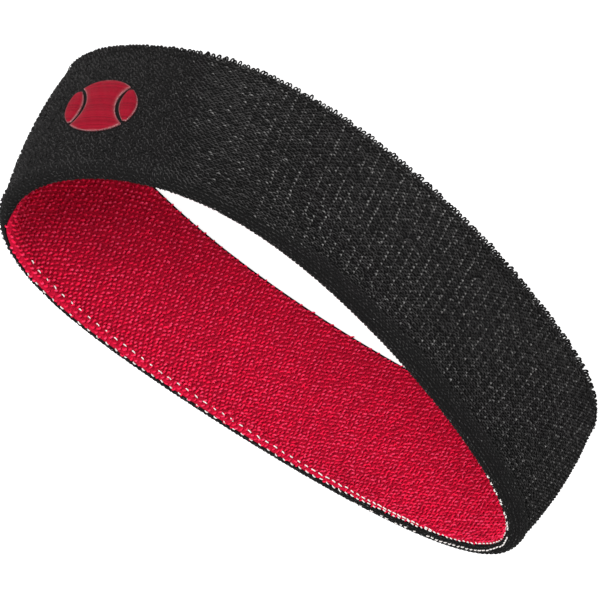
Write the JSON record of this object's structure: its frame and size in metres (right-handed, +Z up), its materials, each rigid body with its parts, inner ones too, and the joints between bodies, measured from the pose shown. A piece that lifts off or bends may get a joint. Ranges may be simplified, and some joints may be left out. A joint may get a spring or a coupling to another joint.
{
  "type": "sports headband",
  "caption": "Reversible two-ply terry headband, black outside and red inside, standing open on its edge, with elastic yarns between the plies and a stitched ball emblem.",
  "frame": {"origin": "middle of the band's footprint, on the surface that its looped edge stands on", "axes": "+X along the band's long way, towards the emblem end; -Y through the wall with the emblem; +Z up, from the looped edge to the sewn edge"},
  "size_m": [0.1762, 0.0816, 0.051],
  "materials": {
    "black_terry": "looped black cotton terry knit with fine pale flecks",
    "red_terry": "looped crimson cotton terry knit",
    "pale_thread": "off-white seam thread",
    "elastic_yarn": "covered elastic yarn, natural",
    "satin_stitch": "red satin-stitched embroidery thread with a soft sheen",
    "backing_felt": "thin white embroidery backing"
  },
  "bodies": {
    "root": {"outer_terry_ply": "black_terry", "inner_terry_ply": "red_terry", "elastic_yarn_1": "elastic_yarn", "elastic_yarn_2": "elastic_yarn", "elastic_yarn_3": "elastic_yarn", "elastic_yarn_4": "elastic_yarn", "elastic_yarn_5": "elastic_yarn", "elastic_yarn_6": "elastic_yarn", "elastic_yarn_7": "elastic_yarn", "elastic_yarn_8": "elastic_yarn", "linking_thread": "pale_thread", "inner_seam_thread": "pale_thread", "outer_seam_thread": "pale_thread", "emblem_left_cap": "satin_stitch", "emblem_centre": "satin_stitch", "emblem_right_cap": "satin_stitch", "emblem_backing": "backing_felt"}
  },
  "joints": []
}
